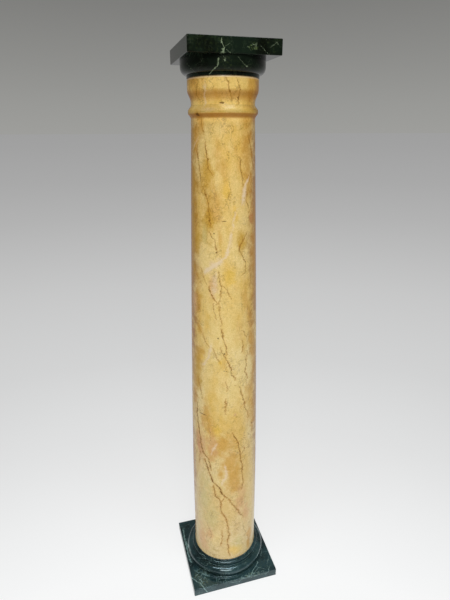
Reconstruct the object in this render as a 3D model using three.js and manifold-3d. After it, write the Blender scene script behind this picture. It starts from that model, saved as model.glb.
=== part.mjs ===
// A free-standing marble display column of Tuscan-Doric form.
//
// Three turned and sawn pieces stand on each other: a dark green base (square plinth
// and round mouldings in one block), a honey-yellow shaft with a swelling taper that
// carries its own neck mouldings, and a dark green capital (round echinus and square
// abacus in one block). Millimetres, +Z up, origin under the middle of the plinth,
// the sides of the plinth and the abacus square to X and Y.

import * as THREE from 'three';
import { mergeVertices } from 'three/addons/utils/BufferGeometryUtils.js';
import Module from 'manifold-3d';

const wasm = await Module();
wasm.setup();

// Driving dimensions: the whole column
const HEIGHT = 1710;
const PLINTH_WIDTH = 300;
const PLINTH_HEIGHT = 28.5;
const ABACUS_WIDTH = 232;
const ABACUS_HEIGHT = 35.8;
const SLAB_EDGE = 1.4;
const ARRIS = 0.8;
const SIDES = 60;
const EMBED = 12;

// Base mouldings, from the plinth up to the bed that the shaft stands on
const FOOT_FILLET_RADIUS = 139.5;
const FOOT_FILLET_HEIGHT = 5.5;
const TORUS_HALF_HEIGHT = 15;
const TORUS_RADIUS = 139;
const LISTEL_RADIUS = 124.5;
const LISTEL_HEIGHT = 4.5;
const BEAD_HALF_HEIGHT = 5;
const BEAD_RADIUS = 120;
const BED_RADIUS = 113;
const BED_HEIGHT = 4.5;

// Shaft: radius at the foot, at the end of its lower drum and under the astragal
const SHAFT_FOOT_RADIUS = 110;
const SHAFT_DRUM_RADIUS = 108.8;
const SHAFT_TOP_RADIUS = 85.2;
const FOOT_FLARE_HEIGHT = 34;
const DRUM_SHARE = 0.2;
const TAPER_POWER = 1.42;
const TAPER_STEPS = 9;

// Neck mouldings of the shaft, heights above the shaft's foot
const ASTRAGAL_FOOT = 1451;
const ASTRAGAL_NOSE = 1466.5;
const ASTRAGAL_NOSE_HEIGHT = 4.5;
const ASTRAGAL_RADIUS = 92.8;
const NECK_RADIUS = 84.4;
const NECK_BOTTOM = 1486.5;
const NECK_TOP = 1489;
const BAND_RADIUS = 93.4;
const BAND_START = 1521;
const UNDERCUT = 1.2;
const SHAFT_HEIGHT = 1549;

// Capital
const ECHINUS_FILLET_RADIUS = 94.3;
const ECHINUS_FILLET_HEIGHT = 6.4;
const ECHINUS_RADIUS = 110.2;
const ECHINUS_ROUND_HEIGHT = 19;

// Heights of the joints between the three pieces
const BASE_TOP = PLINTH_HEIGHT + FOOT_FILLET_HEIGHT + 2 * TORUS_HALF_HEIGHT
  + LISTEL_HEIGHT + 2 * BEAD_HALF_HEIGHT + BED_HEIGHT;
const SHAFT_TOP = BASE_TOP + SHAFT_HEIGHT;
const ABACUS_UNDERSIDE = HEIGHT - ABACUS_HEIGHT;

const greenMarble = new THREE.MeshStandardMaterial({ color: 0x1f2e27, roughness: 0.16, metalness: 0 });
const greenMarbleCapital = new THREE.MeshStandardMaterial({ color: 0x1b2820, roughness: 0.16, metalness: 0 });
const yellowMarble = new THREE.MeshStandardMaterial({ color: 0xc9a566, roughness: 0.2, metalness: 0 });

// Points of an elliptical arc in the (radius, height) plane, angles in degrees from outwards
function arc(middleRadius, middleHeight, acrossRadius, alongRadius, from, to, steps) {
  return Array.from({ length: steps + 1 }, (_, i) => {
    const angle = THREE.MathUtils.degToRad(from + (to - from) * i / steps);
    return [middleRadius + acrossRadius * Math.cos(angle), middleHeight + alongRadius * Math.sin(angle)];
  });
}

// A half-round moulding that stands out to a given radius
function halfRound(outerRadius, middleHeight, halfHeight, steps) {
  return arc(outerRadius - halfHeight, middleHeight, halfHeight, halfHeight, -90, 90, steps);
}

// A smooth double curve between two (radius, height) points, upright at both ends; with a
// lean above 1 it is steeper towards its stop
function ogee([startRadius, startHeight], [stopRadius, stopHeight], steps, lean = 1) {
  return Array.from({ length: steps + 1 }, (_, i) => {
    const share = i / steps;
    const swell = THREE.MathUtils.smoothstep(share ** lean, 0, 1);
    const radius = THREE.MathUtils.lerp(startRadius, stopRadius, swell);
    return [radius, THREE.MathUtils.lerp(startHeight, stopHeight, share)];
  });
}

// A solid of revolution about Z: the outline runs from the axis at the bottom to the axis at the top
function turned(outline) {
  const points = outline.map(([radius, height]) => new THREE.Vector2(radius, height));
  return new THREE.LatheGeometry(points, SIDES).rotateX(Math.PI / 2);
}

// A square slab with eased edges
function slab(width, bottom, height) {
  const half = width / 2 - SLAB_EDGE;
  const square = new THREE.Shape([
    new THREE.Vector2(-half, -half),
    new THREE.Vector2(half, -half),
    new THREE.Vector2(half, half),
    new THREE.Vector2(-half, half),
  ]);
  return new THREE.ExtrudeGeometry(square, {
    depth: height - 2 * SLAB_EDGE,
    bevelThickness: SLAB_EDGE,
    bevelSize: SLAB_EDGE,
    bevelSegments: 2,
  }).translate(0, 0, bottom + SLAB_EDGE);
}

function weld(geometry) {
  const bare = geometry.clone();
  bare.deleteAttribute('normal');
  bare.deleteAttribute('uv');
  return mergeVertices(bare, 1e-4);
}

function toSolid(geometry) {
  const welded = weld(geometry);
  return new wasm.Manifold(new wasm.Mesh({
    numProp: 3,
    vertProperties: new Float32Array(welded.attributes.position.array),
    triVerts: new Uint32Array(welded.index.array),
  }));
}

function toGeometry(solid) {
  const { vertProperties, triVerts } = solid.getMesh();
  const geometry = new THREE.BufferGeometry();
  geometry.setAttribute('position', new THREE.BufferAttribute(vertProperties, 3));
  geometry.setIndex(new THREE.BufferAttribute(triVerts, 1));
  geometry.computeVertexNormals();
  return geometry;
}

function namedMesh(name, geometry, material) {
  const mesh = new THREE.Mesh(geometry, material);
  mesh.name = name;
  return mesh;
}

// Base: fillet, torus, listel, bead and the bed of the shaft, on the plinth
function baseMouldings() {
  const torusMiddle = PLINTH_HEIGHT + FOOT_FILLET_HEIGHT + TORUS_HALF_HEIGHT;
  const listelBottom = torusMiddle + TORUS_HALF_HEIGHT;
  const beadMiddle = listelBottom + LISTEL_HEIGHT + BEAD_HALF_HEIGHT;
  const bedBottom = beadMiddle + BEAD_HALF_HEIGHT;
  return turned([
    [0, PLINTH_HEIGHT - EMBED],
    [FOOT_FILLET_RADIUS, PLINTH_HEIGHT - EMBED],
    [FOOT_FILLET_RADIUS, PLINTH_HEIGHT + FOOT_FILLET_HEIGHT - ARRIS],
    [FOOT_FILLET_RADIUS - ARRIS, PLINTH_HEIGHT + FOOT_FILLET_HEIGHT],
    ...halfRound(TORUS_RADIUS, torusMiddle, TORUS_HALF_HEIGHT, 10),
    [LISTEL_RADIUS, listelBottom],
    [LISTEL_RADIUS, listelBottom + LISTEL_HEIGHT],
    ...halfRound(BEAD_RADIUS, beadMiddle, BEAD_HALF_HEIGHT, 6),
    [BED_RADIUS, bedBottom],
    [BED_RADIUS, BASE_TOP],
    [0, BASE_TOP],
  ]);
}

function base() {
  const solid = toSolid(slab(PLINTH_WIDTH, 0, PLINTH_HEIGHT)).add(toSolid(baseMouldings()));
  return namedMesh('base', toGeometry(solid), greenMarble);
}

// Shaft radius at a share of its height: a straight drum below, then a swelling taper
function taperRadius(share) {
  const above = (share - DRUM_SHARE) / (1 - DRUM_SHARE);
  return SHAFT_DRUM_RADIUS - (SHAFT_DRUM_RADIUS - SHAFT_TOP_RADIUS) * above ** TAPER_POWER;
}

function shaftTaper() {
  return Array.from({ length: TAPER_STEPS }, (_, i) => {
    const share = DRUM_SHARE + (1 - DRUM_SHARE) * i / TAPER_STEPS;
    return [taperRadius(share), share * ASTRAGAL_FOOT];
  });
}

// Double curves into and out of the soft astragal, a short neck, then one up to the top band
function neckMouldings() {
  const noseTop = ASTRAGAL_NOSE + ASTRAGAL_NOSE_HEIGHT;
  return [
    ...ogee([SHAFT_TOP_RADIUS, ASTRAGAL_FOOT], [ASTRAGAL_RADIUS, ASTRAGAL_NOSE], 6, UNDERCUT),
    ...ogee([ASTRAGAL_RADIUS, noseTop], [NECK_RADIUS, NECK_BOTTOM], 6),
    ...ogee([NECK_RADIUS, NECK_TOP], [BAND_RADIUS, BAND_START], 7, UNDERCUT),
    [BAND_RADIUS, SHAFT_HEIGHT],
  ];
}

function shaft() {
  const outline = [
    [0, 0],
    [SHAFT_FOOT_RADIUS - ARRIS, 0],
    [SHAFT_FOOT_RADIUS, ARRIS],
    [SHAFT_DRUM_RADIUS, FOOT_FLARE_HEIGHT],
    ...shaftTaper(),
    ...neckMouldings(),
    [0, SHAFT_HEIGHT],
  ];
  const mesh = namedMesh('shaft', weld(turned(outline)), yellowMarble);
  mesh.position.z = BASE_TOP;
  return mesh;
}

// Capital: fillet and echinus, under the abacus
function echinus() {
  const roundBottom = SHAFT_TOP + ECHINUS_FILLET_HEIGHT;
  const swell = ECHINUS_RADIUS - ECHINUS_FILLET_RADIUS;
  return turned([
    [0, SHAFT_TOP],
    [ECHINUS_FILLET_RADIUS, SHAFT_TOP],
    ...arc(ECHINUS_FILLET_RADIUS, roundBottom + ECHINUS_ROUND_HEIGHT, swell, ECHINUS_ROUND_HEIGHT, -90, 0, 7),
    [ECHINUS_RADIUS, ABACUS_UNDERSIDE + EMBED],
    [0, ABACUS_UNDERSIDE + EMBED],
  ]);
}

function capital() {
  const solid = toSolid(echinus()).add(toSolid(slab(ABACUS_WIDTH, ABACUS_UNDERSIDE, ABACUS_HEIGHT)));
  return namedMesh('capital', toGeometry(solid), greenMarbleCapital);
}

const column = new THREE.Group();
column.add(base(), shaft(), capital());

export default column;
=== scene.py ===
"""A free-standing marble display column: dark green base and capital, honey-yellow shaft.

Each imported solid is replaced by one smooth, closed mesh made from the same named sizes.
Two procedural marbles give the looks: a yellow one with rust-brown cracks, and a dark
green one with pale veins. Metres, +Z up, the slabs square to X and Y.
"""
import math
from types import SimpleNamespace

import bpy
from mathutils import Matrix, Vector, noise


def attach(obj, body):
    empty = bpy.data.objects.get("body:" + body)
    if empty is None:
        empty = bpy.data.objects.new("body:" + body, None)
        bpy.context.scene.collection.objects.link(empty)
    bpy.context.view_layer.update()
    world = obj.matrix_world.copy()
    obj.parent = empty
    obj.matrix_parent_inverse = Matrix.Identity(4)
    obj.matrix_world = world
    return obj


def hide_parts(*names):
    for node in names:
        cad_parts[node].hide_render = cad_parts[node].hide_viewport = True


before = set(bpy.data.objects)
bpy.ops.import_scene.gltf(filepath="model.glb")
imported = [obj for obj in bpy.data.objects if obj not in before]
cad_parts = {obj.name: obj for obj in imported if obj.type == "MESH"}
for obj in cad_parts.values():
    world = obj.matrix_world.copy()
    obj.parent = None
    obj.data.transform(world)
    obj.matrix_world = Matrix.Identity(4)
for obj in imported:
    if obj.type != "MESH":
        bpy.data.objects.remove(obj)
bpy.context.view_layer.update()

MM = 0.001

# Sizes of the whole column, in metres
HEIGHT = 1710 * MM
PLINTH_WIDTH = 300 * MM
PLINTH_HEIGHT = 28.5 * MM
ABACUS_WIDTH = 232 * MM
ABACUS_HEIGHT = 35.8 * MM
SLAB_EDGE = 1.4 * MM
ARRIS = 0.8 * MM
ARRIS_STEPS = 3

# Base mouldings, from the plinth up
FOOT_FILLET_RADIUS = 139.5 * MM
FOOT_FILLET_HEIGHT = 5.5 * MM
TORUS_HALF_HEIGHT = 15 * MM
TORUS_RADIUS = 139 * MM
LISTEL_RADIUS = 124.5 * MM
LISTEL_HEIGHT = 4.5 * MM
BEAD_HALF_HEIGHT = 5 * MM
BEAD_RADIUS = 120 * MM
BED_RADIUS = 113 * MM
BED_HEIGHT = 4.5 * MM

# Shaft
SHAFT_FOOT_RADIUS = 110 * MM
SHAFT_DRUM_RADIUS = 108.8 * MM
SHAFT_TOP_RADIUS = 85.2 * MM
FOOT_FLARE_HEIGHT = 34 * MM
DRUM_SHARE = 0.2
TAPER_POWER = 1.42

# Neck mouldings, heights above the shaft's foot
ASTRAGAL_FOOT = 1451 * MM
ASTRAGAL_NOSE = 1466.5 * MM
ASTRAGAL_NOSE_HEIGHT = 4.5 * MM
ASTRAGAL_RADIUS = 92.8 * MM
NECK_RADIUS = 84.4 * MM
NECK_BOTTOM = 1486.5 * MM
NECK_TOP = 1489 * MM
BAND_RADIUS = 93.4 * MM
BAND_START = 1521 * MM
UNDERCUT = 1.2
SHAFT_HEIGHT = 1549 * MM

# Capital
ECHINUS_FILLET_RADIUS = 94.3 * MM
ECHINUS_FILLET_HEIGHT = 6.4 * MM
ECHINUS_RADIUS = 110.2 * MM
ECHINUS_ROUND_HEIGHT = 19 * MM

# Heights of the joints
FILLET_TOP = PLINTH_HEIGHT + FOOT_FILLET_HEIGHT
TORUS_MIDDLE = FILLET_TOP + TORUS_HALF_HEIGHT
LISTEL_BOTTOM = TORUS_MIDDLE + TORUS_HALF_HEIGHT
BEAD_MIDDLE = LISTEL_BOTTOM + LISTEL_HEIGHT + BEAD_HALF_HEIGHT
BED_BOTTOM = BEAD_MIDDLE + BEAD_HALF_HEIGHT
BASE_TOP = BED_BOTTOM + BED_HEIGHT
SHAFT_TOP = BASE_TOP + SHAFT_HEIGHT
ABACUS_UNDERSIDE = HEIGHT - ABACUS_HEIGHT

# Camera, fitted to the slab corners and the round edges
CAMERA_TURN = math.radians(15.55)
CAMERA_DISTANCE = 1299.3 * MM
CAMERA_HEIGHT = 1504.3 * MM
CAMERA_PITCH = 0.35503
CAMERA_YAW = 0.0029
CAMERA_ROLL = -0.00303
LENS = 27.249
SENSOR = 36

TO_CAMERA = Vector((-math.sin(CAMERA_TURN), -math.cos(CAMERA_TURN), 0))
TO_RIGHT = Vector((math.cos(CAMERA_TURN), -math.sin(CAMERA_TURN), 0))


def make_camera():
    data = bpy.data.cameras.new("camera")
    data.lens = LENS
    data.sensor_width = SENSOR
    data.sensor_fit = "AUTO"
    data.clip_start = 0.05
    data.clip_end = 1000
    camera = bpy.data.objects.new("camera", data)
    turn = Matrix.Rotation(-CAMERA_YAW - CAMERA_TURN, 4, "Z")
    tilt = Matrix.Rotation(math.pi / 2 - CAMERA_PITCH, 4, "X")
    roll = Matrix.Rotation(CAMERA_ROLL, 4, "Z")
    place = TO_CAMERA * CAMERA_DISTANCE + Vector((0, 0, CAMERA_HEIGHT))
    camera.matrix_world = Matrix.Translation(place) @ turn @ tilt @ roll
    bpy.context.scene.collection.objects.link(camera)
    bpy.context.scene.camera = camera


make_camera()


# Outlines in the (radius, height) plane

def arc(middle_radius, middle_height, across, along, start, stop, steps):
    """Points of an elliptical arc, angles in degrees from outwards."""
    points = []
    for i in range(steps + 1):
        angle = math.radians(start + (stop - start) * i / steps)
        points.append((middle_radius + across * math.cos(angle), middle_height + along * math.sin(angle)))
    return points


def half_round(outer_radius, middle_height, half_height, steps):
    return arc(outer_radius - half_height, middle_height, half_height, half_height, -90, 90, steps)


def eased_top(radius, height, edge=ARRIS, steps=ARRIS_STEPS):
    """An outer arris at the top of an upright face, rounded over."""
    return arc(radius - edge, height - edge, edge, edge, 0, 90, steps)


def eased_foot(radius, height):
    """An outer arris at the bottom of an upright face, rounded over."""
    return arc(radius - ARRIS, height + ARRIS, ARRIS, ARRIS, -90, 0, ARRIS_STEPS)


def ogee(start, stop, lean=1.0):
    """A smooth double curve, upright at both ends; with a lean above 1 it is steeper at its stop."""
    steps = 20
    points = []
    for i in range(steps + 1):
        share = i / steps
        late = share ** lean
        swell = late * late * (3 - 2 * late)
        points.append((start[0] + (stop[0] - start[0]) * swell, start[1] + (stop[1] - start[1]) * share))
    return points


def straight(start, stop, steps):
    """Points between two ends, without the first."""
    return [tuple(a + (b - a) * i / steps for a, b in zip(start, stop)) for i in range(1, steps + 1)]


def taper_radius(share):
    above = max(0.0, (share - DRUM_SHARE) / (1 - DRUM_SHARE))
    return SHAFT_DRUM_RADIUS - (SHAFT_DRUM_RADIUS - SHAFT_TOP_RADIUS) * above ** TAPER_POWER


def shaft_outline():
    steps = 90
    outline = eased_foot(SHAFT_FOOT_RADIUS, 0)
    outline += straight((SHAFT_FOOT_RADIUS, ARRIS), (SHAFT_DRUM_RADIUS, FOOT_FLARE_HEIGHT), 6)
    first = math.ceil(FOOT_FLARE_HEIGHT / ASTRAGAL_FOOT * steps) + 1
    outline += [(taper_radius(i / steps), i / steps * ASTRAGAL_FOOT) for i in range(first, steps)]
    outline += ogee((SHAFT_TOP_RADIUS, ASTRAGAL_FOOT), (ASTRAGAL_RADIUS, ASTRAGAL_NOSE), UNDERCUT)
    outline += ogee((ASTRAGAL_RADIUS, ASTRAGAL_NOSE + ASTRAGAL_NOSE_HEIGHT), (NECK_RADIUS, NECK_BOTTOM))
    outline += ogee((NECK_RADIUS, NECK_TOP), (BAND_RADIUS, BAND_START), UNDERCUT)
    outline += straight((BAND_RADIUS, BAND_START), (BAND_RADIUS, SHAFT_HEIGHT - ARRIS), 6)[:-1]
    outline += eased_top(BAND_RADIUS, SHAFT_HEIGHT)
    return [(radius, BASE_TOP + height) for radius, height in outline]


def base_outline():
    """The round mouldings of the base, from the plinth's top face to the shaft's bed."""
    return [
        *arc(FOOT_FILLET_RADIUS + ARRIS, PLINTH_HEIGHT + ARRIS, ARRIS, ARRIS, -90, -180, ARRIS_STEPS),
        *eased_top(FOOT_FILLET_RADIUS, FILLET_TOP, 2 * ARRIS, 6),
        *half_round(TORUS_RADIUS, TORUS_MIDDLE, TORUS_HALF_HEIGHT, 34),
        *eased_top(LISTEL_RADIUS, LISTEL_BOTTOM + LISTEL_HEIGHT),
        *half_round(BEAD_RADIUS, BEAD_MIDDLE, BEAD_HALF_HEIGHT, 18),
        (BED_RADIUS, BED_BOTTOM),
        *eased_top(BED_RADIUS, BASE_TOP),
    ]


def echinus_outline():
    round_bottom = SHAFT_TOP + ECHINUS_FILLET_HEIGHT
    swell = ECHINUS_RADIUS - ECHINUS_FILLET_RADIUS
    middle = round_bottom + ECHINUS_ROUND_HEIGHT
    return [
        *eased_foot(ECHINUS_FILLET_RADIUS, SHAFT_TOP),
        *arc(ECHINUS_FILLET_RADIUS, middle, swell, ECHINUS_ROUND_HEIGHT, -90, 0, 30),
        *straight((ECHINUS_RADIUS, middle), (ECHINUS_RADIUS, ABACUS_UNDERSIDE), 6),
    ]


# Rings of equal point counts, round or square

COLUMNS = 288
QUARTER = COLUMNS // 4
CORNER_COLUMNS = 12
CORNER_RADIUS = 2.2 * MM
SHARP_DEGREES = 40


def round_ring(radius, height, sides=COLUMNS):
    return [Vector((radius * math.cos(a), radius * math.sin(a), height))
            for a in (math.tau * i / sides for i in range(sides))]


def square_ring(half, height):
    """A square with rounded corners; its points crowd towards the corners."""
    flat = half - CORNER_RADIUS
    side_steps = QUARTER - CORNER_COLUMNS
    quarter = []
    for i in range(side_steps // 2):
        share = math.sin(math.pi / 2 * i / (side_steps / 2))
        quarter.append((half, flat * share))
    for i in range(CORNER_COLUMNS + 1):
        angle = math.pi / 2 * i / CORNER_COLUMNS
        x, y = CORNER_RADIUS * math.cos(angle), CORNER_RADIUS * math.sin(angle)
        quarter.append((flat + x, flat + y))
    for i in range(side_steps // 2 - 1, 0, -1):
        share = math.sin(math.pi / 2 * i / (side_steps / 2))
        quarter.append((flat * share, half))
    ring = []
    for turn in range(4):
        for x, y in quarter:
            for _ in range(turn):
                x, y = -y, x
            ring.append(Vector((x, y, height)))
    return ring


def between(ring_a, ring_b, share):
    return [a.lerp(b, share) for a, b in zip(ring_a, ring_b)]


def slab_rings(width, bottom, height, inset_low, inset_high):
    """Rings of a slab's rim, from an inset on the underside to an inset on the top face."""
    half = width / 2
    edge = SLAB_EDGE
    rings = [square_ring(half - inset, bottom) for inset in inset_low]
    for radius, level in arc(0, 0, edge, edge, -90, 0, 5):
        rings.append(square_ring(half - edge + radius, bottom + edge + level))
    sides = 10
    for i in range(1, sides):
        rings.append(square_ring(half, bottom + edge + (height - 2 * edge) * i / sides))
    for radius, level in arc(0, 0, edge, edge, 0, 90, 5):
        rings.append(square_ring(half - edge + radius, bottom + height - edge + level))
    rings += [square_ring(half - inset, bottom + height) for inset in inset_high]
    return rings


def spun(outline):
    return [round_ring(radius, height) for radius, height in outline]


def closed_mesh(name, rings):
    """A closed mesh through the rings, with a fan on the first and on the last one."""
    count = len(rings[0])
    points = [point for ring in rings for point in ring]
    low, high = len(points), len(points) + 1
    points.append(Vector((0, 0, rings[0][0].z)))
    points.append(Vector((0, 0, rings[-1][0].z)))
    faces = []
    for i in range(count):
        j = (i + 1) % count
        faces.append((low, j, i))
        for level in range(len(rings) - 1):
            a, b = level * count, (level + 1) * count
            faces.append((a + i, a + j, b + j, b + i))
        last = (len(rings) - 1) * count
        faces.append((high, last + i, last + j))
    mesh = bpy.data.meshes.new(name)
    mesh.from_pydata([tuple(point) for point in points], [], faces)
    mesh.validate()
    mesh.shade_smooth()
    mesh.set_sharp_from_angle(angle=math.radians(SHARP_DEGREES))
    piece = bpy.data.objects.new(name, mesh)
    bpy.context.scene.collection.objects.link(piece)
    return piece


# Wear: small bites at corners, and arrises a little uneven

BITE_UNEVENNESS = 0.22
BITE_GRAIN = 160
WEAR_REACH = 4 * MM
WEAR_DEPTH = 0.35 * MM
WEAR_GRAIN = 55


def carve(point, bites):
    """Moves a point out of each bite: a ball whose surface is uneven."""
    for centre, radius in bites:
        away = point - centre
        reach = radius * (1 + BITE_UNEVENNESS * noise.noise(point * BITE_GRAIN))
        if away.length < reach:
            point = centre + away.normalized() * reach
    return point


def slab_wear(point, half, bottom, top):
    """Pulls a point near a slab's edge inwards by up to a third of a millimetre."""
    near_side = half - max(abs(point.x), abs(point.y))
    near_level = min(point.z - bottom, top - point.z)
    closeness = max(0.0, 1 - near_side / WEAR_REACH) * max(0.0, 1 - near_level / WEAR_REACH)
    depth = WEAR_DEPTH * closeness * (0.5 + 0.5 * noise.noise(point * WEAR_GRAIN))
    pull = Vector((-point.x, -point.y, (bottom + top) / 2 - point.z))
    return point + pull.normalized() * depth


def make_base():
    half = PLINTH_WIDTH / 2
    rings = [square_ring(half * share, 0) for share in (0.3, 0.6, 0.85)]
    rings += slab_rings(PLINTH_WIDTH, 0, PLINTH_HEIGHT, (12 * MM, 5 * MM, 2.5 * MM), (2.5 * MM, 5 * MM))
    outline = base_outline()
    rim = rings[-1]
    foot = round_ring(outline[0][0], PLINTH_HEIGHT)
    rings += [between(rim, foot, share) for share in (0.15, 0.35, 0.6, 0.85)]
    rings += spun(outline)
    rings += spun([(BED_RADIUS * share, BASE_TOP) for share in (0.8, 0.4)])
    corner = Vector((half, -half, PLINTH_HEIGHT))
    bites = (
        (corner + Vector((6, -5, 2)) * MM, 10.5 * MM),
        (Vector((half + 5 * MM, -half - 6 * MM, 6 * MM)), 10 * MM),
        (Vector((-half - 5 * MM, -half - 5 * MM, -3 * MM)), 10 * MM),
    )
    rings = [[carve(slab_wear(p, half, 0, PLINTH_HEIGHT), bites) if p.z <= PLINTH_HEIGHT else p
              for p in ring] for ring in rings]
    return closed_mesh("base_marble", rings)


def make_shaft():
    rings = spun([(SHAFT_FOOT_RADIUS * share, BASE_TOP) for share in (0.4, 0.8)])
    rings += spun(shaft_outline())
    rings += spun([(BAND_RADIUS * share, SHAFT_TOP) for share in (0.8, 0.4)])
    return closed_mesh("shaft_marble", rings)


def make_capital():
    half = ABACUS_WIDTH / 2
    rings = spun([(ECHINUS_FILLET_RADIUS * share, SHAFT_TOP) for share in (0.4, 0.8)])
    rings += spun(echinus_outline())
    neck = rings[-1]
    insets_above = (2.5 * MM, 5 * MM, 12 * MM)
    slab = slab_rings(ABACUS_WIDTH, ABACUS_UNDERSIDE, ABACUS_HEIGHT, (2.5 * MM,), insets_above)
    rings += [between(neck, slab[0], share) for share in (0.15, 0.4, 0.7, 0.9)]
    rings += slab
    rings += [square_ring(half * share, HEIGHT) for share in (0.85, 0.6, 0.3)]
    corner = Vector((half, -half, ABACUS_UNDERSIDE))
    bites = (
        (corner + Vector((4, -4, -3)) * MM, 7.5 * MM),
        (Vector((-half - 4 * MM, -half - 4 * MM, HEIGHT + 3 * MM)), 7 * MM),
    )
    rings = [[carve(slab_wear(p, half, ABACUS_UNDERSIDE, HEIGHT), bites) if p.z >= ABACUS_UNDERSIDE else p
              for p in ring] for ring in rings]
    return closed_mesh("capital_marble", rings)


# Short calls that add shader nodes and link them

class Shading:
    """A material's node tree. Values handed to its calls are sockets or plain numbers."""

    def __init__(self, tree):
        self.tree = tree
        tree.nodes.clear()

    def add(self, kind, **settings):
        node = self.tree.nodes.new(kind)
        for key, value in settings.items():
            setattr(node, key, value)
        return node

    def feed(self, socket, value):
        if isinstance(value, bpy.types.NodeSocket):
            self.tree.links.new(value, socket)
        elif value is not None:
            socket.default_value = value

    def math(self, operation, a, b=None, c=None):
        node = self.add("ShaderNodeMath", operation=operation)
        for socket, value in zip(node.inputs, (a, b, c)):
            self.feed(socket, value)
        return node.outputs[0]

    def times(self, value, *factors):
        for factor in factors:
            value = self.math("MULTIPLY", value, factor)
        return value

    def vector_math(self, operation, a, b=None):
        node = self.add("ShaderNodeVectorMath", operation=operation)
        self.feed(node.inputs[0], a)
        self.feed(node.inputs[1], b)
        return node.outputs["Value" if operation in ("LENGTH", "DOT_PRODUCT") else "Vector"]

    def combine(self, x, y, z):
        node = self.add("ShaderNodeCombineXYZ")
        for socket, value in zip(node.inputs, (x, y, z)):
            self.feed(socket, value)
        return node.outputs[0]

    def split(self, vector):
        node = self.add("ShaderNodeSeparateXYZ")
        self.feed(node.inputs[0], vector)
        return node.outputs

    def ramp(self, value, low, high, start=0.0, stop=1.0, smooth=True):
        """Takes low..high to start..stop, and keeps it there beyond."""
        kind = "SMOOTHSTEP" if smooth else "LINEAR"
        node = self.add("ShaderNodeMapRange", interpolation_type=kind, clamp=True)
        for socket, given in zip(node.inputs, (value, low, high, start, stop)):
            self.feed(socket, given)
        return node.outputs[0]

    def noise(self, place, scale, detail, roughness, output="Fac"):
        node = self.add("ShaderNodeTexNoise")
        self.feed(node.inputs["Vector"], place)
        self.feed(node.inputs["Scale"], scale)
        self.feed(node.inputs["Detail"], detail)
        self.feed(node.inputs["Roughness"], roughness)
        return node.outputs[output]

    def cell_edge(self, place, scale):
        """Distance to the nearest border between irregular cells."""
        node = self.add("ShaderNodeTexVoronoi", feature="DISTANCE_TO_EDGE")
        self.feed(node.inputs["Vector"], place)
        self.feed(node.inputs["Scale"], scale)
        return node.outputs["Distance"]

    def curve(self, value, points):
        """A line through (from 0 to 1, from 0 to 1) points."""
        node = self.add("ShaderNodeFloatCurve")
        self.feed(node.inputs["Value"], value)
        line = node.mapping.curves[0].points
        line[0].location = points[0]
        line[1].location = points[-1]
        for x, y in points[1:-1]:
            line.new(x, y)
        for point in line:
            point.handle_type = "VECTOR"
        node.mapping.update()
        return node.outputs[0]

    def blend(self, share, under, over):
        node = self.add("ShaderNodeMix", data_type="RGBA")
        self.feed(node.inputs[0], share)
        for socket, value in ((node.inputs[6], under), (node.inputs[7], over)):
            self.feed(socket, value if isinstance(value, bpy.types.NodeSocket) else (*value, 1))
        return node.outputs[2]

    def scaled(self, colour, factor):
        """A colour times a number."""
        return self.vector_math("MULTIPLY", colour, self.combine(factor, factor, factor))

    def toned(self, colour, factor):
        """A colour made darker and deeper below a factor of 1, lighter and paler above it."""
        red, green, blue = (self.math("POWER", factor, power) for power in (0.7, 0.9, 2.1))
        return self.vector_math("MULTIPLY", colour, self.combine(red, green, blue))

    def bump(self, height, strength, distance):
        node = self.add("ShaderNodeBump")
        self.feed(node.inputs["Strength"], strength)
        self.feed(node.inputs["Distance"], distance)
        self.feed(node.inputs["Height"], height)
        return node.outputs[0]


def linear(*levels):
    """A colour given in 8-bit screen levels, as linear light."""
    return tuple(((v / 255 + 0.055) / 1.055) ** 2.4 if v > 10 else v / 255 / 12.92 for v in levels)


def new_material(name):
    material = bpy.data.materials.new(name)
    material.use_nodes = True
    return material, Shading(material.node_tree)


def polished(s, colour, roughness, normal, ior, gloss=0.5, tint=(1, 1, 1, 1)):
    shader = s.add("ShaderNodeBsdfPrincipled")
    s.feed(shader.inputs["Specular Tint"], tint)
    s.feed(shader.inputs["Specular IOR Level"], gloss)
    s.feed(shader.inputs["Base Color"], colour)
    s.feed(shader.inputs["Roughness"], roughness)
    s.feed(shader.inputs["Normal"], normal)
    s.feed(shader.inputs["IOR"], ior)
    output = s.add("ShaderNodeOutputMaterial")
    s.feed(output.inputs[0], shader.outputs[0])


# Placed veins are a strength and a line of (along, across) points. On the shaft those are the
# height in mm and the turn in degrees, from the side that the camera looks at to its right.

HEIGHT_MM = HEIGHT / MM
DEGREES_PER_MM = 2 * 180 / math.pi * MM / (SHAFT_TOP_RADIUS + SHAFT_DRUM_RADIUS)


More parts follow.
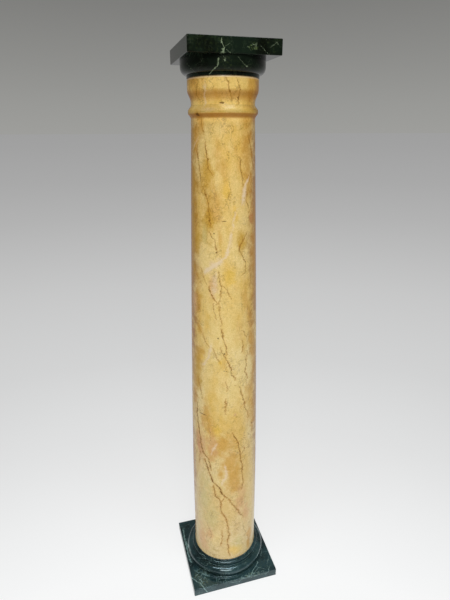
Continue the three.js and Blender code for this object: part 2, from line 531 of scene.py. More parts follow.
class Chart:
    """The ranges of along and across that lines are drawn in, and how far a line fades out."""

    def __init__(self, along, across, fade):
        self.low, self.high = along
        self.left, self.right = across
        self.fade = fade

    def tracks(self, lines):
        """Packs lines that don't overlap along into as few tracks as that takes."""
        packed = []
        for strength, points in sorted(lines, key=lambda line: min(line[1])):
            points = sorted(points)
            for track in packed:
                if track[-1][1][-1][0] + 2.4 * self.fade < points[0][0]:
                    track.append((strength, points))
                    break
            else:
                packed.append([(strength, points)])
        return packed

    def share(self, along):
        return (along - self.low) / (self.high - self.low)

    def curves(self, track):
        """Two curves over along: where the track is, and how strong."""
        place, force = [(0.0, 0.5)], [(0.0, 0.0)]
        for strength, points in track:
            for along, across in points:
                place.append((self.share(along), (across - self.left) / (self.right - self.left)))
            low, high = points[0][0], points[-1][0]
            inner = min(self.fade, (high - low) / 3)
            force += [(self.share(low - self.fade), 0.0), (self.share(low + inner), strength),
                      (self.share(high - inner), strength), (self.share(high + self.fade), 0.0)]
        return place + [(1.0, 0.5)], force + [(1.0, 0.0)]

    def nearness(self, s, lines, along, across, half_width):
        """The line's strength on it, less one for each half width away from it."""
        share = s.ramp(along, self.low, self.high, smooth=False)
        nearest = None
        for track in self.tracks(lines):
            place_points, force_points = self.curves(track)
            place = s.curve(share, place_points)
            force = s.curve(share, force_points)
            centre = s.math("MULTIPLY_ADD", place, self.right - self.left, self.left)
            off = s.math("ABSOLUTE", s.math("SUBTRACT", across, centre))
            mark = s.math("MULTIPLY_ADD", off, -1 / half_width, force)
            mark = s.math("ADD", mark, s.ramp(force, 0.0, 0.3, -self.fade, 0.0, smooth=False))
            nearest = mark if nearest is None else s.math("MAXIMUM", nearest, mark)
        return nearest


ROUND_SHAFT = Chart((0, HEIGHT_MM), (-90, 90), 14)
OVER_BASE = Chart((-200, 200), (-160, 160), 5)
CAPITAL_FRONT = Chart((1600, 1720), (-120, 120), 2.5)


def placed_patches(s, patches, place, edge):
    """How far inside the nearest soft-edged patch: patches are (along, across, half sizes)."""
    inside = None
    for along, across, tall, wide in patches:
        away = s.vector_math("SUBTRACT", place, (across, along, 0))
        away = s.vector_math("MULTIPLY", away, (1 / wide, 1 / tall, 0))
        length = s.vector_math("LENGTH", away)
        mark = s.math("SUBTRACT", edge, length)
        inside = mark if inside is None else s.math("MAXIMUM", inside, mark)
    return inside


FISSURES = [
    (0.8, [(702, -55), (684, -53), (663, -55), (623, -52), (583, -47), (534, -42), (518, -38),
           (509, -29), (495, -26), (465, -24)]),
    (1.0, [(498, -36), (480, -32), (458, -29), (447, -26), (430, -23), (416, -19), (407, -13),
           (398, -8), (379, -5), (364, 1), (354, 7)]),
    (0.7, [(354, 7), (331, 13), (314, 19), (285, 27), (255, 36)]),
    (0.65, [(407, -20), (386, -18), (362, -16), (348, -8), (334, -6), (298, -6), (281, -1),
            (263, 4), (213, 7), (190, 9), (168, 5), (97, 9)]),
]

CRACKS = [
    (0.9, [(1247, 44), (1234, 38), (1218, 32), (1205, 27), (1193, 28), (1177, 36), (1160, 40), (1131, 40)]),
    (0.45, [(1151, -42), (1120, -36), (1096, -28)]),
    (0.8, [(1094, -27), (1078, -22), (1060, -17), (1046, -10)]),
    (0.8, [(1142, -8), (1119, -7), (1100, -4), (1061, -6), (1048, -9)]),
    (0.5, [(1044, -7), (1013, -7), (993, -4), (974, -5)]),
    (0.8, [(968, -5), (941, -1), (913, 3), (887, 6)]),
    (0.9, [(909, -5), (896, -3), (879, 2), (865, 6), (844, 11), (824, 13), (804, 19)]),
    (0.8, [(1532, -41), (1511, -38), (1502, -35)]),
    (0.9, [(1477, -32), (1460, -31), (1439, -27), (1416, -27), (1400, -17)]),
    (0.8, [(1471, -49), (1455, -51), (1435, -48), (1402, -43), (1375, -41)]),
    (0.7, [(1532, -55), (1520, -53), (1500, -57)]),
    (0.8, [(1446, 28), (1436, 30), (1413, 30), (1397, 34), (1372, 35)]),
    (0.8, [(1500, 49), (1467, 54), (1447, 59), (1416, 64)]),
    (0.9, [(1371, -37), (1351, -31), (1329, -27), (1317, -25), (1280, -25), (1266, -21)]),
    (0.8, [(1248, -23), (1237, -20), (1228, -15), (1212, -14), (1196, -10)]),
    (0.7, [(1338, 38), (1322, 46), (1300, 49)]),
    (0.7, [(1134, 55), (1098, 54)]),
    (0.7, [(1102, -3), (1092, 4), (1072, 9), (1062, 13)]),
    (0.6, [(1047, -17), (1031, -17), (1011, -15), (997, -13)]),
    (0.6, [(970, -53), (961, -47), (954, -44)]),
    (0.7, [(948, -38), (928, -35), (918, -30), (911, -26)]),
    (0.6, [(908, -21), (894, -15), (873, -11), (857, -6)]),
    (0.6, [(955, 36), (943, 38), (936, 41)]),
    (0.7, [(926, 34), (891, 34)]),
    (0.7, [(885, 45), (870, 41), (843, 41), (820, 38), (795, 45)]),
    (0.6, [(799, -52), (771, -48), (740, -42), (724, -41)]),
    (0.6, [(523, -46), (502, -50), (489, -49), (472, -51)]),
    (0.6, [(218, -5), (172, -5), (144, -8)]),
    (0.6, [(797, 2), (786, 5), (767, 5)]),
    (0.6, [(740, 2), (700, 2), (683, 3)]),
    (0.8, [(780, 20), (776, 28), (759, 30), (744, 31), (715, 37), (689, 38), (667, 45), (654, 48)]),
    (0.9, [(612, 14), (601, 17), (586, 22), (575, 25), (542, 26), (524, 29), (501, 29), (481, 33),
           (438, 33), (403, 35), (384, 32)]),
    (0.6, [(542, 39), (530, 32)]),
    (0.6, [(363, 1), (345, -5)]),
    (0.8, [(1629, 3), (1616, 8), (1599, 9), (1582, 15)]),
    (0.8, [(1623, 22), (1615, 25), (1599, 26), (1566, 28)]),
    (0.7, [(1623, -41), (1601, -44), (1586, -48), (1574, -41)]),
]

FAINT_CRACKS = [
    (0.7, [(1083, 32), (1047, 32), (1010, 32)]),
    (0.7, [(1042, 45), (1017, 45), (1010, 42)]),
    (0.6, [(333, 15), (290, 28), (264, 36)]),
    (1.0, [(244, 33), (202, 38), (162, 47), (132, 52)]),
    (1.0, [(235, -33), (213, -29), (185, -25), (160, -28)]),
    (0.7, [(1326, -18), (1316, -12), (1308, -11)]),
    (0.7, [(1400, 8), (1360, 12), (1330, 6), (1300, 9)]),
    (0.7, [(1530, -5), (1505, 2), (1480, -3), (1462, 4)]),
    (0.7, [(1535, 12), (1510, 18), (1485, 12), (1460, 17)]),
    (0.7, [(640, -30), (600, -24), (560, -28)]),
    (0.7, [(250, -35), (200, -30), (160, -36)]),
]

PALE_VEINS = [
    (0.6, [(1492, -47), (1477, -57), (1457, -67)]),
    (1.0, [(1395, 52), (1372, 41), (1350, 37), (1322, 33)]),
    (0.52, [(1316, 28), (1310, 24), (1287, 18), (1238, 13), (1222, 11)]),
    (1.0, [(1218, 9), (1202, 8), (1186, 6), (1171, -3)]),
    (0.4, [(166, 9), (152, 19), (134, 35)]),
    (1.4, [(1176, -1), (1163, -12), (1150, -22), (1134, -33)]),
    (0.8, [(918, -22), (878, -26), (854, -34), (837, -40)]),
    (0.8, [(573, -13), (547, -20), (525, -24)]),
    (0.8, [(496, 0), (472, 3), (440, 2), (424, -4), (410, -5)]),
    (0.55, [(1625, -27), (1612, -28), (1600, -27), (1585, -31), (1571, -30), (1558, -34)]),
]

# Patches of the shaft are (height in mm, turn in degrees, half height, half width)

DARK_SPOTS = [
    (1280, 1, 1.7, 5.5), (890, 1, 4, 2), (940, -10, 3, 2), (834, 0, 2, 1.4), (833, 4, 2, 1.4),
    (1247, -16, 2.5, 1.6), (620, 57, 4, 3), (670, -40, 2, 10), (1195, -12, 3, 2), (1545, -45, 5, 5),
    (1571, -2, 3, 7),
]

# Painted shade down both sides, as umber patches placed by the real turn; all other patches fade out at the
# seams
SHADED_SIDE_PATCHES = [
    (1180, -78, 700, 34), (1240, 76, 480, 32), (700, 80, 340, 28), (420, -82, 340, 22), (420, 84, 200, 20),
]

OCHRE_PATCHES = [
    (1440, 46, 110, 18), (1060, -52, 85, 14), (958, -46, 20, 11),
    (1180, 66, 160, 12), (1500, -52, 60, 12),
    (760, -62, 120, 12), (880, 62, 120, 12),
    (916, 52, 20, 6), (430, 16, 80, 18), (455, -7, 25, 9), (1530, -45, 40, 14),
    (870, -46, 55, 14), (660, 58, 70, 14), (545, -22, 50, 12), (160, 54, 36, 11),
    (120, 50, 28, 7), (670, -34, 60, 14), (610, -24, 60, 15), (566, -2, 56, 24), (500, 10, 80, 22),
]
MUSTARD_PATCHES = [
    (1400, -28, 80, 16), (1290, -26, 90, 13), (1330, -66, 230, 16), (1225, -50, 50, 15), (1230, 31, 44, 10),
    (820, -52, 90, 16), (1236, -48, 40, 10),
]
CLOUDY_PATCHES = [
    (1170, -6, 14, 7), (1158, -16, 12, 9), (1142, -27, 14, 9), (1122, -15, 30, 7), (1084, -17, 18, 6),
    (1340, 37, 30, 5), (1556, -24, 7, 16), (1232, 12, 30, 5),
]
GOLD_PATCHES = [
    (1125, 11, 34, 15), (620, -13, 30, 10), (866, -40, 14, 6), (860, -7, 11, 5), (1360, 5, 40, 9),
    (1300, 20, 30, 8), (125, 20, 26, 16),
]
RED_PATCHES = [(1290, 54, 32, 8), (560, -52, 60, 9)]
GREENISH_PATCHES = [(1242, -33, 30, 7), (350, -38, 110, 18), (260, -24, 70, 18), (150, 26, 40, 14)]
PINK_PATCHES = [
    (1100, -19, 52, 10), (540, -44, 90, 12), (335, 30, 70, 12), (270, 42, 45, 10), (679, 19, 7, 4),
    (150, -46, 70, 18), (190, -30, 40, 12),
    (1040, -60, 40, 10), (565, -22, 60, 12),
]
CRINKLED = [
    (1500, 3, 40, 30), (1460, 12, 30, 14), (1300, -18, 85, 15), (1215, -14, 25, 12), (1600, -30, 30, 20),
    (1600, 14, 30, 18), (930, -5, 60, 12), (300, -10, 60, 20), (830, 8, 40, 12), (640, 24, 40, 12),
]
CREAM_PATCHES = [
    (1000, 6, 150, 34), (760, 12, 120, 34), (1330, 16, 120, 18), (1190, 22, 60, 22),
    (1030, -20, 34, 12), (955, -8, 38, 11), (360, 58, 170, 18), (430, -6, 14, 6), (475, -45, 9, 4),
    (170, -18, 40, 14), (1220, 10, 50, 12), (1510, -10, 30, 16), (800, 0, 60, 22),
]


# Tones of the yellow marble
GOLDEN = linear(234, 192, 92)
CREAM = linear(244, 218, 150)
OCHRE = linear(210, 154, 52)
MUSTARD = linear(206, 160, 50)
ROSE = linear(222, 172, 122)
GOLD = linear(238, 196, 80)
RUST = linear(200, 124, 76)
SAGE = linear(206, 194, 132)
PALE = linear(238, 214, 178)
# Painted shade for the shaft's two sides
SIDE_SHADE_UMBER = linear(164, 100, 32)
FOOT_PALE = linear(222, 200, 152)
# Painted shade: the brown that the mouldings' undersides turn to
UNDERSIDE_SHADE = linear(168, 100, 14)
STAIN = linear(188, 132, 48)
BARK = linear(106, 70, 24)
BROWN = linear(142, 98, 34)
# The joint line under the capital, partly painted shadow
JOINT_SHADOW = linear(48, 40, 22)

PATCH_TONES = (
    (CREAM_PATCHES, CREAM, 0.5),
    (OCHRE_PATCHES, OCHRE, 0.66),
    (MUSTARD_PATCHES, MUSTARD, 0.75),
    (GOLD_PATCHES, GOLD, 0.6),
    (GREENISH_PATCHES, SAGE, 0.5),
    (PINK_PATCHES, ROSE, 0.62),
    (RED_PATCHES, RUST, 0.5),
    (CLOUDY_PATCHES, PALE, 0.62),
)

# Half widths of the placed lines, in mm, and the refraction that sets the gloss
PALE_HALF_WIDTH = 9.0
FAINT_HALF_WIDTH = 1.6
CRACK_HALF_WIDTH = 1.45
FISSURE_HALF_WIDTH = 2.6
BASE_VEIN_HALF_WIDTH = 2.1
CAPITAL_VEIN_HALF_WIDTH = 1.3
YELLOW_IOR = 1.34

# The side of the shaft that faces the camera has the placed veins where the photograph shows
# them. The two other thirds take the same veins, moved in height. Angles are in degrees.
FRONT_EDGE = 80
BACK_MIDDLE = 130
BACK_SEAM = 180
SEAM_FADE = 10
BACK_LIFT = 0.9
SIDE_LIFT = 0.28


class AroundShaft:
    """Sockets that say where a point of the shaft is, and the noises that its marble shares."""

    def __init__(self, s):
        self.place = s.add("ShaderNodeTexCoord").outputs["Object"]
        self.level = s.split(self.place)[2]
        self.facing_up = s.split(s.add("ShaderNodeNewGeometry").outputs["Normal"])[2]
        right = s.vector_math("DOT_PRODUCT", self.place, tuple(TO_RIGHT))
        front = s.vector_math("DOT_PRODUCT", self.place, tuple(TO_CAMERA))
        turn = s.times(s.math("ARCTAN2", right, front), 180 / math.pi)
        self.real_spot = s.combine(turn, s.times(self.level, 1 / MM), 0.0)

        size = s.math("ABSOLUTE", turn)
        behind = s.math("GREATER_THAN", size, FRONT_EDGE)
        side = s.math("SIGN", turn)
        self.turn = s.math("MULTIPLY_ADD", s.times(side, behind), -BACK_MIDDLE, turn)
        lift = s.times(behind, s.math("MULTIPLY_ADD", side, SIDE_LIFT, BACK_LIFT))
        height = s.math("PINGPONG", s.math("ADD", self.level, lift), HEIGHT)
        self.height = s.times(height, 1 / MM)
        self.spot = s.combine(self.turn, self.height, 0.0)
        to_front_seam = s.math("ABSOLUTE", s.math("SUBTRACT", size, FRONT_EDGE))
        to_back_seam = s.math("SUBTRACT", BACK_SEAM, size)
        self.off_seam = s.ramp(s.math("MINIMUM", to_front_seam, to_back_seam), 0, SEAM_FADE)

        self.long_grain = s.vector_math("MULTIPLY", self.place, (1, 1, 0.45))
        self.broad = s.noise(self.long_grain, 9, 4, 0.55)
        self.mottle = s.noise(self.place, 55, 6, 0.7)
        self.patch_edge = s.math("MULTIPLY_ADD", s.noise(self.place, 30, 6, 0.7), 2.6, -0.15)
        warp = s.math("SUBTRACT", s.noise(self.place, 45, 4, 0.65), 0.5)
        fine_warp = s.math("SUBTRACT", s.noise(self.place, 170, 2, 0.6), 0.5)
        bent = s.math("MULTIPLY_ADD", warp, 8.0, self.turn)
        self.bent_turn = s.math("MULTIPLY_ADD", fine_warp, 7.5, bent)


def shaft_tones(s, here):
    """Zones and patches of the yellow marble, mottled and grained, and deeper higher up, with painted shade
    down both sides and painted light just under the capital.
    """
    colour = s.blend(s.ramp(here.broad, 0.38, 0.62), GOLDEN, CREAM)
    darker = s.ramp(s.noise(here.long_grain, 16, 5, 0.6), 0.54, 0.68, 0, 0.55)
    colour = s.blend(darker, colour, OCHRE)
    # Paler towards the foot
    colour = s.blend(s.ramp(here.level, 0.1, 0.75, 0.8, 0.1, smooth=False), colour, FOOT_PALE)
    # Painted shade: umber patches darken the shaft's two sides
    inside = placed_patches(s, SHADED_SIDE_PATCHES, here.real_spot, here.patch_edge)
    colour = s.blend(s.ramp(inside, 0.0, 0.95, 0, 0.8), colour, SIDE_SHADE_UMBER)
    for patches, tone, strength in PATCH_TONES:
        inside = placed_patches(s, patches, here.spot, here.patch_edge)
        inside = s.ramp(inside, 0.0, 0.95, 0, strength)
        colour = s.blend(s.times(inside, here.off_seam), colour, tone)

    colour = s.toned(colour, s.ramp(here.mottle, 0.25, 0.75, 0.9, 1.09, smooth=False))
    grain = s.noise(here.place, 300, 3, 0.7)
    colour = s.toned(colour, s.ramp(grain, 0.25, 0.75, 0.8, 1.18, smooth=False))
    # Deeper towards the head; just under the capital the red is raised, partly painted light against the
    # capital's shade
    higher = s.blend(s.ramp(here.level, 0.95, 1.4), (1.0, 1.0, 1.0), (0.93, 0.87, 0.74))
    higher = s.blend(s.ramp(here.level, 1.5, 1.58), higher, (1.07, 0.97, 0.68))
    return s.vector_math("MULTIPLY", colour, higher)


def moulding_shade_and_light(s, here, colour):
    """Painted shade on undersides, up-facing slopes and the astragal's nose, and painted light in the
    hollows: the colour, and the nose band.
    """
    # Painted shade: downward-facing surfaces turn dark brown
    under = s.ramp(here.facing_up, 0.0, -0.5, 0, 0.75, smooth=False)
    colour = s.blend(under, colour, UNDERSIDE_SHADE)
    # Painted shade: up-facing slopes made darker
    colour = s.scaled(colour, s.ramp(here.facing_up, 0.1, 0.45, 1.0, 0.77))
    # Painted shade: a darker band round the astragal's nose, where the gloss is lowered too
    nose = BASE_TOP + ASTRAGAL_NOSE
    nose_shade = s.times(s.ramp(here.level, nose - 2 * MM, nose + 1 * MM),
                   s.ramp(here.level, nose + 9 * MM, nose + 4 * MM))
    colour = s.scaled(colour, s.math("MULTIPLY_ADD", nose_shade, -0.24, 1.0))
    # Painted light: lighter bands in the hollows under the astragal and under the band
    under_astragal = BASE_TOP + ASTRAGAL_FOOT
    under_band = BASE_TOP + NECK_TOP + 12 * MM
    for hollow, lift in ((under_astragal, 0.17), (under_band, 0.1)):
        hollow_light = s.times(s.ramp(here.level, hollow - 12 * MM, hollow - 2 * MM),
                        s.ramp(here.level, hollow + 9 * MM, hollow + 3 * MM))
        colour = s.scaled(colour, s.math("MULTIPLY_ADD", hollow_light, lift, 1.0))
    return colour, nose_shade


def crazing(s, here, colour):
    """Hairlines in clusters and all over, and brown specks."""
    warp = s.noise(here.place, 26, 4, 0.6, output="Color")
    warped = s.vector_math("ADD", here.long_grain, s.scaled(warp, 0.045))
    clusters = s.ramp(s.noise(here.long_grain, 13, 3, 0.5), 0.5, 0.62)
    placed = s.ramp(placed_patches(s, CRINKLED, here.spot, here.patch_edge), -0.1, 0.5)
    clusters = s.math("MAXIMUM", clusters, placed)
    fine_warp = s.noise(here.place, 110, 3, 0.6, output="Color")
    crinkled = s.vector_math("ADD", warped, s.scaled(fine_warp, 0.024))
    hairs = s.ramp(s.cell_edge(crinkled, 46), 0.0, 0.075, 1, 0)
    runs = s.ramp(s.noise(here.place, 34, 2, 0.5), 0.44, 0.58)
    hairs = s.times(hairs, runs, s.math("MULTIPLY_ADD", clusters, 0.34, 0.16))
    colour = s.blend(hairs, colour, BROWN)

    specks = s.ramp(s.noise(here.place, 190, 3, 0.7), 0.58, 0.68, 0, 0.22)
    specks = s.times(specks, s.ramp(here.broad, 0.35, 0.6, 1.0, 0.4))
    colour = s.blend(specks, colour, BROWN)
    wide_hairs = s.ramp(s.cell_edge(warped, 17), 0.0, 0.016, 1, 0)
    wide_runs = s.ramp(s.noise(here.place, 21, 3, 0.6), 0.46, 0.6)
    return s.blend(s.times(wide_hairs, wide_runs, 0.4), colour, BROWN)


def shaft_lines(s, here, lines, half_width):
    half_turn = half_width * DEGREES_PER_MM
    return ROUND_SHAFT.nearness(s, lines, here.height, here.bent_turn, half_turn)


def placed_lines(s, here, colour):
    """Pale veins, faint and open cracks and dark spots: the colour, and how open it is."""
    breaks = s.ramp(s.noise(here.place, 80, 3, 0.7), 0.36, 0.52, 0.35, 1.0)
    ragged = s.math("MULTIPLY_ADD", s.noise(here.place, 70, 4, 0.7), 1.3, -0.8)
    veins = s.math("ADD", shaft_lines(s, here, PALE_VEINS, PALE_HALF_WIDTH), ragged)
    veins = s.times(s.ramp(veins, -0.2, 0.8), here.off_seam, 0.75)
    colour = s.blend(veins, colour, PALE)
    faint = s.ramp(shaft_lines(s, here, FAINT_CRACKS, FAINT_HALF_WIDTH), 0.0, 0.5)
    faint = s.times(faint, here.off_seam, s.times(breaks, 0.5))
    colour = s.blend(faint, colour, BROWN)

    near_cracks = shaft_lines(s, here, CRACKS, CRACK_HALF_WIDTH)
    near_fissures = shaft_lines(s, here, FISSURES, FISSURE_HALF_WIDTH)
    stained = s.math("MAXIMUM", s.ramp(near_cracks, -2.2, 0.4), s.ramp(near_fissures, -1.8, 0.4))
    stained = s.times(stained, here.off_seam, s.ramp(here.mottle, 0.35, 0.6, 0.2, 0.7))
    colour = s.blend(stained, colour, STAIN)
    spot_edge = s.math("MULTIPLY_ADD", s.noise(here.place, 160, 3, 0.7), 1.6, 0.1)
    near_spots = placed_patches(s, DARK_SPOTS, here.spot, spot_edge)
    open_lines = None
    for near, full, strength in (
        (near_cracks, 0.6, s.times(breaks, 0.74)),
        (near_fissures, 0.7, s.times(breaks, 0.9)),
        (near_spots, 0.4, 0.85),
    ):
        mark = s.times(s.ramp(near, 0.0, full), here.off_seam, strength)
        colour = s.blend(mark, colour, BARK)
        open_lines = mark if open_lines is None else s.math("MAXIMUM", open_lines, mark)
    return colour, open_lines


def end_lines(s, here, colour):
    """Pale rims at the shaft's foot and head, and above them a dark line at the joint, partly painted
    shadow under the capital.
    """
    foot_rim = s.ramp(here.level, BASE_TOP + 1.5 * MM, BASE_TOP + 3 * MM, 0.6, 0)
    head_rim = s.ramp(here.level, SHAFT_TOP - 6 * MM, SHAFT_TOP - 4 * MM, 0, 0.5)
    joint_shadow = s.ramp(here.level, SHAFT_TOP - 3 * MM, SHAFT_TOP - 1.2 * MM, 0, 0.85)
    for share, tone in ((foot_rim, PALE), (head_rim, PALE), (joint_shadow, JOINT_SHADOW)):
        colour = s.blend(share, colour, tone)
    return colour


def yellow_marble():
    material, s = new_material("yellow_marble")
    here = AroundShaft(s)
    colour = shaft_tones(s, here)
    colour, nose_shade = moulding_shade_and_light(s, here, colour)
    colour = crazing(s, here, colour)
    colour, open_lines = placed_lines(s, here, colour)
    colour = end_lines(s, here, colour)

    depth = s.math("MULTIPLY_ADD", open_lines, -1.0, s.times(here.mottle, 0.25))
    normal = s.bump(depth, 0.12, 0.3 * MM)
    roughness = s.ramp(here.mottle, 0.3, 0.7, 0.2, 0.27)
    under = s.ramp(here.facing_up, 0.0, -0.4, 1.0, 0.25)
    above = s.ramp(here.facing_up, 0.1, 0.45, 1.0, 0.9)
    dulled = s.math("MULTIPLY_ADD", nose_shade, -0.6, 1.0)
    gloss = s.times(s.math("MULTIPLY_ADD", open_lines, -0.5, 0.5), under, above, dulled)
    polished(s, colour, roughness, normal, YELLOW_IOR, gloss)
    return material


# Placed veins of the green blocks, in mm. Over the base, along is measured from its middle to
# the front and on down the front face, and across is X; on the capital, along is the height.

BASE_VEINS = [
    (1.1, [(96, -151), (102, -149), (114, -138), (121, -135), (128, -124), (150, -117), (176, -104)]),
    (0.9, [(108, -128), (117, -122), (124, -118), (133, -117)]),
    (0.8, [(79, -131), (87, -122), (92, -112), (104, -101), (112, -92)]),
    (0.7, [(88, -107), (98, -114), (108, -118)]),
    (0.9, [(97, 94), (108, 95), (119, 84), (128, 72), (142, 60), (152, 52), (160, 47)]),
    (0.7, [(116, 83), (124, 88), (133, 101), (141, 113)]),
    (1.1, [(-52, -139), (-37, -137), (-20, -141), (2, -143), (20, -140), (30, -141), (43, -137)]),
    (0.9, [(21, -118), (26, -108), (29, -96), (34, -91)]),
    (0.9, [(149, -34), (154, -20), (160, -12), (166, -2), (174, 12)]),
    (0.7, [(139, 28), (147, 20), (158, 18), (168, 9)]),
    (0.7, [(131, 133), (142, 124), (152, 121), (164, 107)]),
    (0.6, [(-118, 132), (-60, 128), (-20, 137), (22, 131), (60, 128), (88, 113)]),
    (0.6, [(-150, 40), (-131, 22), (-122, -18), (-133, -52), (-148, -80)]),
    (1.0, [(-114, -139), (-62, -142), (-25, -142), (-1, -142)]),
    (0.6, [(89, -134), (109, -117), (120, -93), (125, -68), (142, -68)]),
    (0.6, [(131, -122), (132, -103), (133, -89)]),
    (0.6, [(146, -117), (147, -104), (148, -92)]),
    (0.6, [(133, -33), (145, -39), (146, -52)]),
    (0.8, [(126, 92), (144, 69), (152, 47), (155, 24)]),
    (0.6, [(63, 148), (93, 149), (119, 148)]),
    (0.7, [(-1, -128), (1, -110), (11, -99), (24, -92)]),
    (0.7, [(0, 138), (36, 124), (67, 102), (84, 87)]),
]

CAPITAL_VEINS = [
    (1.1, [(1676, -33), (1680, -31), (1686, -29), (1696, -35), (1705, -34)]),
    (0.7, [(1674, -12), (1678, -17), (1683, -25)]),
    (0.6, [(1674, 82), (1681, 74), (1689, 64), (1694, 58)]),
    (0.8, [(1690, 85), (1696, 93), (1702, 101)]),
    (0.6, [(1695, 104), (1699, 103), (1703, 101)]),
    (0.6, [(1688, -27), (1693, -18), (1697, -12)]),
    (1.3, [(1634, -56), (1639, -51), (1645, -46), (1650, -40), (1658, -40), (1667, -38)]),
    (0.55, [(1648, 30), (1655, 22), (1662, 13), (1671, 5)]),
    (0.6, [(1658, -27), (1664, -22), (1670, -30)]),
    (0.45, [(1637, -82), (1645, -92), (1652, -97), (1662, -104)]),
    (0.4, [(1653, -88), (1659, -78), (1668, -71)]),
]

# Where a block has a dense net of short veins and flecks: (along, across, half sizes of both)
BASE_WEB = [(104, -112, 44, 36), (-30, -140, 60, 10), (150, 60, 14, 60)]
CAPITAL_WEB = [(1692, 42, 12, 20)]

VEIN_BLOTS = [
    (1676, -32, 4, 7), (1681, -31, 6, 3.5), (1661, -25, 3.5, 3), (1650, 31, 2.5, 2.5), (1655, -40, 7, 3),
]


# Tones of the green blocks, the shift in the noise, the shares of flecks and net, and the gloss
BASE_STONE = SimpleNamespace(
    black=linear(20, 34, 34), deep=linear(40, 64, 68), moss=linear(62, 88, 84),
    olive=linear(70, 78, 40), pale=linear(140, 168, 164),
    shift=0.0, olive_share=0.3, net=0.42, gloss_tint=(0.74, 0.93, 1.0, 1.0), ior=1.58,
)
CAPITAL_STONE = SimpleNamespace(
    black=linear(9, 13, 7), deep=linear(20, 31, 22), moss=linear(36, 50, 33),
    olive=linear(88, 104, 52), pale=linear(140, 156, 124),
    shift=0.6, olive_share=0.15, net=0.12, gloss_tint=(0.8, 0.8, 0.7, 1.0), ior=1.29,
)


def base_veins(s, place, shake):
    """How near a placed vein is, and how far inside a dense net."""
    x, y, z = s.split(place)
    down = s.math("MULTIPLY_ADD", s.math("ADD", y, z), -1 / MM, PLINTH_HEIGHT / MM)
    across = s.math("MULTIPLY_ADD", x, 1 / MM, shake)
    lines = OVER_BASE.nearness(s, BASE_VEINS, down, across, BASE_VEIN_HALF_WIDTH)
    edge = s.math("MULTIPLY_ADD", shake, 0.08, 1.0)
    return lines, placed_patches(s, BASE_WEB, s.combine(across, down, 0.0), edge)


def capital_veins(s, place, shake):
    """The same for the capital."""
    x, _, z = s.split(place)
    height = s.times(z, 1 / MM)
    across = s.math("MULTIPLY_ADD", x, 1 / MM, shake)
    lines = CAPITAL_FRONT.nearness(s, CAPITAL_VEINS, height, across, CAPITAL_VEIN_HALF_WIDTH)
    spot = s.combine(across, height, 0.0)
    edge = s.math("MULTIPLY_ADD", shake, 0.12, 0.9)
    lines = s.math("MAXIMUM", lines, placed_patches(s, VEIN_BLOTS, spot, edge))
    return lines, placed_patches(s, CAPITAL_WEB, spot, edge)


def green_marble(name, stone, veins_of):
    """Dark zones, flecks, three broken nets of pale veins, and the placed veins."""
    material, s = new_material(name)
    place = s.add("ShaderNodeTexCoord").outputs["Object"]
    moved = s.vector_math("ADD", place, (0.31 + stone.shift, 0.17, 0.07))
    shake = s.math("MULTIPLY_ADD", s.noise(place, 130, 5, 0.7), 11.0, -5.5)
    veins, web = veins_of(s, place, shake)
    web = s.ramp(web, 0.0, 0.5)

    broad = s.noise(moved, 11, 4, 0.6)
    colour = s.blend(s.ramp(broad, 0.36, 0.64), stone.black, stone.deep)
    mottle = s.noise(moved, 60, 7, 0.72)
    colour = s.blend(s.ramp(mottle, 0.5, 0.74, 0, 0.7), colour, stone.moss)
    flecks = s.ramp(s.noise(moved, 150, 5, 0.75), 0.5, 0.64)
    olive_zone = s.ramp(s.noise(moved, 12, 3, 0.5), 0.5, 0.62, 0, stone.olive_share)
    olive_zone = s.math("MAXIMUM", olive_zone, s.times(web, 0.8))
    colour = s.blend(s.times(flecks, olive_zone), colour, stone.olive)

    warped = s.vector_math("ADD", moved, s.scaled(s.noise(moved, 20, 5, 0.6, output="Color"), 0.06))
    wide_breaks = s.ramp(s.noise(moved, 24, 4, 0.65), 0.45, 0.6)
    small_breaks = s.ramp(s.noise(moved, 37, 4, 0.65), 0.48, 0.62)
    fine_breaks = s.ramp(s.noise(moved, 90, 3, 0.65), 0.42, 0.56, 0, 0.75)
    for scale, width, breaks, strength in (
        (12, 0.012, wide_breaks, stone.net),
        (33, 0.03, small_breaks, s.math("MULTIPLY_ADD", web, 0.35, 0.6 * stone.net)),
        (80, 0.09, fine_breaks, web),
    ):
        net = s.ramp(s.cell_edge(warped, scale), 0.0, width, 1, 0)
        colour = s.blend(s.times(net, s.times(breaks, strength)), colour, stone.pale)

    frayed = s.math("MULTIPLY_ADD", s.noise(place, 320, 3, 0.75), 2.2, -1.15)
    veins = s.ramp(s.math("ADD", veins, frayed), 0.0, 0.7, 0, 0.8)
    colour = s.blend(veins, colour, stone.pale)

    roughness = s.ramp(broad, 0.3, 0.7, 0.1, 0.14)
    normal = s.bump(s.noise(place, 14, 1, 0.4), 0.05, 0.5 * MM)
    polished(s, colour, roughness, normal, stone.ior, tint=stone.gloss_tint)
    return material


base_piece = make_base()
shaft_piece = make_shaft()
capital_piece = make_capital()

for piece, node, slot, material in (
    (base_piece, "base", "green_marble_base", green_marble("green_marble_base", BASE_STONE, base_veins)),
    (shaft_piece, "shaft", "yellow_marble", yellow_marble()),
    (capital_piece, "capital", "green_marble_capital",
     green_marble("green_marble_capital", CAPITAL_STONE, capital_veins)),
):
    piece.data.materials.append(material)
    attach(piece, "root")
    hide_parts(node)


# Floor and light

FLOOR_RADII = (0.5, 2, 6, 20, 80, 400)
FLOOR_SIDES = 64

# Glow of the floor over the distance from the camera's foot, a painted pool of light; at this many metres
# it is half way along them
HALF_WAY = 4.0
FLOOR_GREYS = [
    (0, 0.775), (0.236, 0.765), (0.283, 0.708), (0.343, 0.63), (0.422, 0.563), (0.53, 0.52),
    (0.687, 0.427), (0.795, 0.382), (0.935, 0.345), (1, 0.335),
]

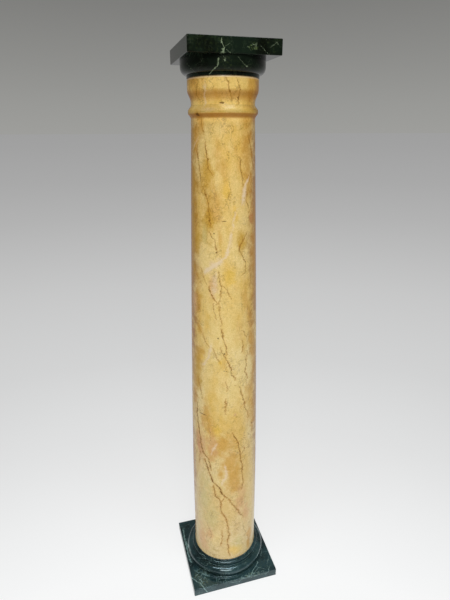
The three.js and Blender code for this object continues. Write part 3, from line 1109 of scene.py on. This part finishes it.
# Greys over the height above the horizon
SKY_GREYS = [(0, 0.34), (0.05, 0.315), (0.12, 0.27), (0.22, 0.21), (0.4, 0.2), (1, 0.22)]


def side_shade(s, direction):
    """Full light behind the column as the camera sees it, less at the sides and in front."""
    ahead = s.vector_math("DOT_PRODUCT", direction, tuple(TO_CAMERA))
    return s.ramp(ahead, -0.75, 0.1, 1.0, 0.38)


def floor_mesh():
    """A wide disc of rings round the column."""
    mesh = bpy.data.meshes.new("floor")
    points = [(0, 0, 0)]
    for radius in FLOOR_RADII:
        points += [tuple(point) for point in round_ring(radius, 0, FLOOR_SIDES)]
    faces = [(0, 1 + i, 1 + (i + 1) % FLOOR_SIDES) for i in range(FLOOR_SIDES)]
    for level in range(len(FLOOR_RADII) - 1):
        a, b = 1 + level * FLOOR_SIDES, 1 + (level + 1) * FLOOR_SIDES
        for i in range(FLOOR_SIDES):
            j = (i + 1) % FLOOR_SIDES
            faces.append((a + i, b + i, b + j, a + j))
    mesh.from_pydata(points, [], faces)
    return mesh


def floor_material():
    """Glows, painted light: bright near the camera's foot, dimming with distance to the background, with
    painted shade in front.
    """
    material, s = new_material("floor_glow")
    place = s.add("ShaderNodeTexCoord").outputs["Object"]
    away = s.vector_math("SUBTRACT", place, tuple(TO_CAMERA * CAMERA_DISTANCE))
    distance = s.vector_math("LENGTH", away)
    share = s.math("DIVIDE", distance, s.math("ADD", distance, HALF_WAY))
    grey = s.curve(share, FLOOR_GREYS)

    spread = s.vector_math("LENGTH", place)
    outwards = s.vector_math("NORMALIZE", place)
    far = s.ramp(spread, 0.8, 5.0)
    shade = s.math("SUBTRACT", side_shade(s, outwards), 1.0)
    grey = s.times(grey, s.math("MULTIPLY_ADD", far, shade, 1.0))
    ahead = s.vector_math("DOT_PRODUCT", outwards, tuple(TO_CAMERA))
    # Painted shade: the glow is dimmed by up to half in front of the column
    front = s.times(s.ramp(ahead, 0.25, 0.7), s.ramp(spread, 0.3, 1.6), s.ramp(spread, 3.0, 12.0, 1, 0))
    grey = s.times(grey, s.math("MULTIPLY_ADD", front, -0.5, 1.0))

    colour = s.combine(grey, grey, grey)
    glow = s.add("ShaderNodeEmission")
    s.feed(glow.inputs["Color"], colour)
    matte = s.add("ShaderNodeBsdfDiffuse")
    s.feed(matte.inputs["Color"], s.scaled(colour, 0.28))
    both = s.add("ShaderNodeAddShader")
    s.feed(both.inputs[0], glow.outputs[0])
    s.feed(both.inputs[1], matte.outputs[0])
    output = s.add("ShaderNodeOutputMaterial")
    s.feed(output.inputs[0], both.outputs[0])
    return material


def make_floor():
    mesh = floor_mesh()
    mesh.materials.append(floor_material())
    floor = bpy.data.objects.new("floor", mesh)
    bpy.context.scene.collection.objects.link(floor)


def make_background():
    """Soft grey all round: lightest at the horizon, darker above."""
    world = bpy.data.worlds.new("studio")
    world.use_nodes = True
    s = Shading(world.node_tree)
    direction = s.add("ShaderNodeTexCoord").outputs["Generated"]
    up = s.split(direction)[2]
    level = s.curve(s.math("MAXIMUM", up, 0.0), SKY_GREYS)
    level = s.times(level, side_shade(s, direction))
    background = s.add("ShaderNodeBackground")
    s.feed(background.inputs["Color"], s.combine(level, level, s.times(level, 0.96)))
    output = s.add("ShaderNodeOutputWorld")
    s.feed(output.inputs[0], background.outputs[0])
    bpy.context.scene.world = world


def soft_light(name, right, front, height, aim, size, radiance, colour):
    """A rectangular light, placed to the camera's right and in front of the column."""
    data = bpy.data.lights.new(name, "AREA")
    data.shape = "RECTANGLE"
    data.size, data.size_y = size
    data.energy = math.pi * size[0] * size[1] * radiance
    data.color = colour
    light = bpy.data.objects.new(name, data)
    place = TO_RIGHT * right + TO_CAMERA * front + Vector((0, 0, height))
    look = Vector((0, 0, aim)) - place
    light.matrix_world = Matrix.Translation(place) @ look.to_track_quat("-Z", "Y").to_matrix().to_4x4()
    bpy.context.scene.collection.objects.link(light)


make_floor()
make_background()
soft_light("strip_overhead", right=0.0, front=0.75, height=4.3, aim=0.1,
           size=(2.6, 0.6), radiance=17.0, colour=(0.84, 0.94, 1.0))
soft_light("front_soft", right=0.25, front=4.6, height=4.0, aim=0.8,
           size=(2.6, 2.6), radiance=8.8, colour=(1.0, 0.985, 0.965))

bpy.context.scene.view_settings.view_transform = "Standard"
